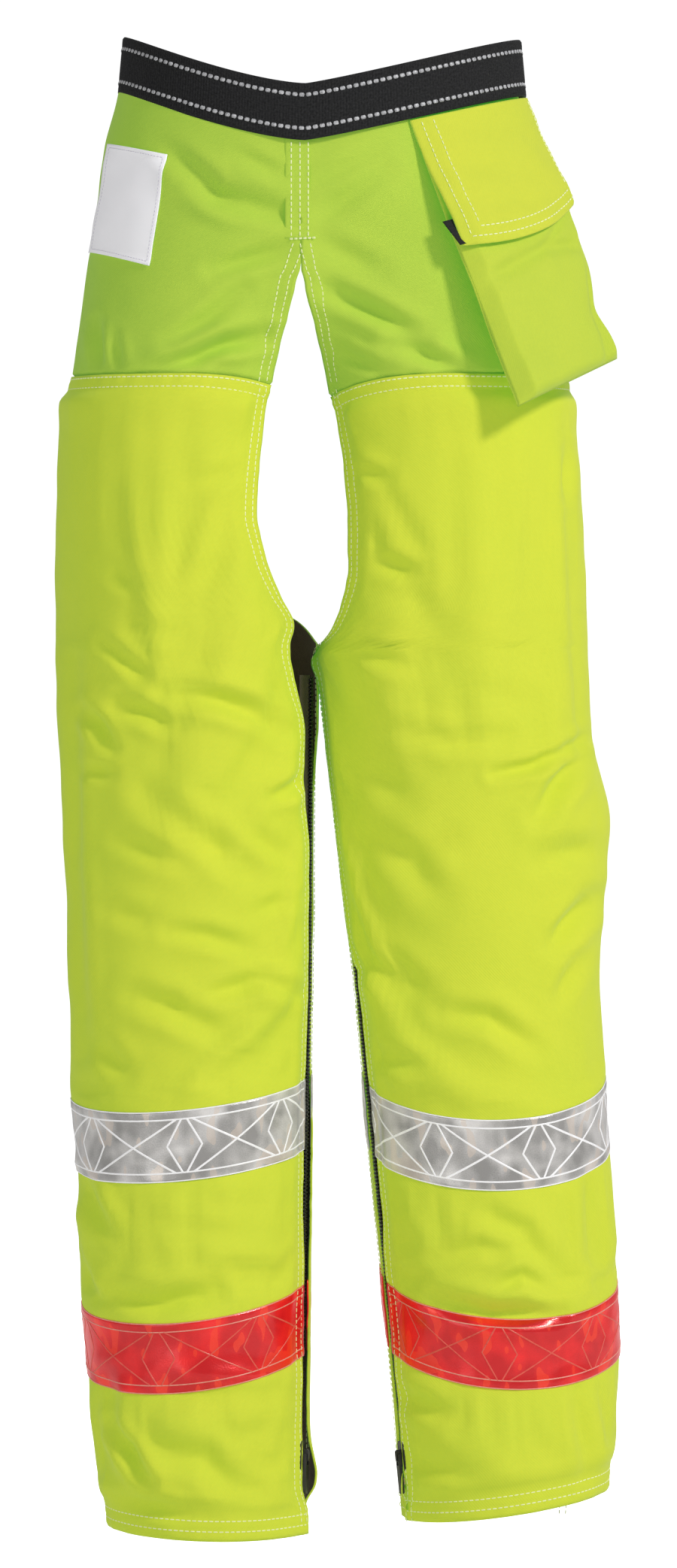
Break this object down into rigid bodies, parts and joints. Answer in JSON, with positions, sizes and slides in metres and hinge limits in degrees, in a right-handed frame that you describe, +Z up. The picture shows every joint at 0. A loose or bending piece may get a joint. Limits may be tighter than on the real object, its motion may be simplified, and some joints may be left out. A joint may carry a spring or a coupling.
{
  "type": "chainsaw chaps",
  "caption": "High-visibility zip-on chainsaw chaps with a webbing waist belt, padded leg covers, reflective bands and a hip pocket, standing as worn.",
  "frame": {"origin": "middle of the waist opening, at mid belt height at the hips", "axes": "+Z up along the wearer, -Y to the front, +X to the wearer's left"},
  "size_m": [0.4154, 0.2136, 1.0642],
  "materials": {
    "belt_webbing": "ribbed woven",
    "buckle_plastic": "fine texture",
    "label_cloth": "satin print cloth",
    "panel_cloth": "plain weave",
    "pocket_cloth": "plain weave",
    "hook_loop": "hook and loop",
    "cover_cloth": "fine twill",
    "protective_pack": "layered fibre",
    "lining_cloth": "mesh",
    "back_cloth": "fine twill",
    "zip_tape": "herringbone tape",
    "zip_teeth": "moulded",
    "zip_metal": "semi-gloss enamel",
    "silver_reflective": "prismatic",
    "red_reflective": "prismatic"
  },
  "bodies": {
    "waist": {"waist_belt": "belt_webbing", "centre_placket": "panel_cloth", "care_label": "label_cloth", "buckle_socket": "buckle_plastic", "belt_keeper": "buckle_plastic", "right_hip_panel": "panel_cloth", "left_hip_panel": "panel_cloth"},
    "belt_end": {"buckle_plug": "buckle_plastic", "adjust_strap": "belt_webbing"},
    "prong_upper": {"buckle_prong_upper": "buckle_plastic"},
    "prong_lower": {"buckle_prong_lower": "buckle_plastic"},
    "pocket": {"pocket_back": "pocket_cloth", "pocket_pouch": "pocket_cloth", "pocket_loop_tape": "hook_loop"},
    "pocket_flap": {"pocket_flap": "pocket_cloth", "pocket_hook_tape": "hook_loop"},
    "right_thigh": {"right_hip_panel_lower": "panel_cloth", "right_thigh_shell": "cover_cloth", "right_thigh_pad": "protective_pack", "right_thigh_lining": "lining_cloth", "right_thigh_back": "back_cloth", "right_thigh_zip_tapes": "zip_tape", "right_thigh_zip_chain": "zip_teeth"},
    "right_shin": {"right_shin_shell": "cover_cloth", "right_shin_pad": "protective_pack", "right_shin_lining": "lining_cloth", "right_shin_back": "back_cloth", "right_shin_zip_tapes": "zip_tape", "right_shin_zip_chain": "zip_teeth", "right_silver_band": "silver_reflective", "right_red_band": "red_reflective", "right_hem_facing": "cover_cloth", "right_zip_stop": "zip_teeth"},
    "right_slider": {"right_zip_slider": "zip_metal"},
    "right_pull": {"right_zip_pull": "zip_metal"},
    "left_thigh": {"left_hip_panel_lower": "panel_cloth", "left_thigh_shell": "cover_cloth", "left_thigh_pad": "protective_pack", "left_thigh_lining": "lining_cloth", "left_thigh_back": "back_cloth", "left_thigh_zip_tapes": "zip_tape", "left_thigh_zip_chain": "zip_teeth"},
    "left_shin": {"left_shin_shell": "cover_cloth", "left_shin_pad": "protective_pack", "left_shin_lining": "lining_cloth", "left_shin_back": "back_cloth", "left_shin_zip_tapes": "zip_tape", "left_shin_zip_chain": "zip_teeth", "left_silver_band": "silver_reflective", "left_red_band": "red_reflective", "left_hem_facing": "cover_cloth", "left_zip_stop": "zip_teeth"},
    "left_slider": {"left_zip_slider": "zip_metal"},
    "left_pull": {"left_zip_pull": "zip_metal"}
  },
  "joints": [
    {"name": "right_hip", "type": "hinge", "parent": "waist", "child": "right_thigh", "pos_m": [-0.1, -0.0913, -0.17], "axis": [-1, 0, 0], "range_deg": [0, 60], "stiffness_Nm_per_rad": 3, "springref_deg": -22.92},
    {"name": "right_knee", "type": "hinge", "parent": "right_thigh", "child": "right_shin", "pos_m": [-0.1, 0.0765, -0.63], "axis": [1, 0, 0], "range_deg": [0, 70], "stiffness_Nm_per_rad": 1.5, "springref_deg": -20.05},
    {"name": "left_hip", "type": "hinge", "parent": "waist", "child": "left_thigh", "pos_m": [0.09, -0.0913, -0.17], "axis": [-1, 0, 0], "range_deg": [0, 60], "stiffness_Nm_per_rad": 3, "springref_deg": -22.92},
    {"name": "left_knee", "type": "hinge", "parent": "left_thigh", "child": "left_shin", "pos_m": [0.09, 0.0765, -0.63], "axis": [1, 0, 0], "range_deg": [0, 70], "stiffness_Nm_per_rad": 1.5, "springref_deg": -20.05},
    {"name": "right_zip", "type": "slide", "parent": "right_shin", "child": "right_slider", "axis": [0.0195, 0.0351, 0.9992], "range_m": [0, 0.33]},
    {"name": "right_zip_pull_swing", "type": "hinge", "parent": "right_slider", "child": "right_pull", "pos_m": [-0.01117, -0.0268, -0.98255], "axis": [-0.2754, -0.9605, 0.0391], "range_deg": [0, 165]},
    {"name": "left_zip", "type": "slide", "parent": "left_shin", "child": "left_slider", "axis": [-0.099, 0.035, 0.9945], "range_m": [0, 0.33]},
    {"name": "left_zip_pull_swing", "type": "hinge", "parent": "left_slider", "child": "left_pull", "pos_m": [0.05397, -0.02683, -0.98297], "axis": [-0.2751, 0.9595, -0.0611], "range_deg": [0, 165]},
    {"name": "pocket_swing", "type": "hinge", "parent": "waist", "child": "pocket", "pos_m": [0.12163, -0.06005, -0.02923], "axis": [-0.7071, -0.6861, -0.1709], "range_deg": [0, 24]},
    {"name": "flap_lift", "type": "hinge", "parent": "pocket", "child": "pocket_flap", "pos_m": [0.12163, -0.06005, -0.02923], "axis": [-0.7071, -0.6861, -0.1709], "range_deg": [0, 125]},
    {"name": "buckle_release", "type": "slide", "parent": "waist", "child": "belt_end", "axis": [-1, 0, 0], "range_m": [0, 0.024]},
    {"name": "prong_upper_squeeze", "type": "hinge", "parent": "belt_end", "child": "prong_upper", "pos_m": [-0.0045, 0.07372, -0.016], "axis": [0, 1, 0], "range_deg": [0, 8], "stiffness_Nm_per_rad": 0.3},
    {"name": "prong_lower_squeeze", "type": "hinge", "parent": "belt_end", "child": "prong_lower", "pos_m": [-0.0045, 0.07372, -0.044], "axis": [0, -1, 0], "range_deg": [0, 8], "stiffness_Nm_per_rad": 0.3}
  ],
  "couplings": [
    {"joint": "pocket_swing", "follows": "left_hip", "ratio": 0.38},
    {"joint": "prong_lower_squeeze", "follows": "prong_upper_squeeze", "ratio": 1}
  ]
}
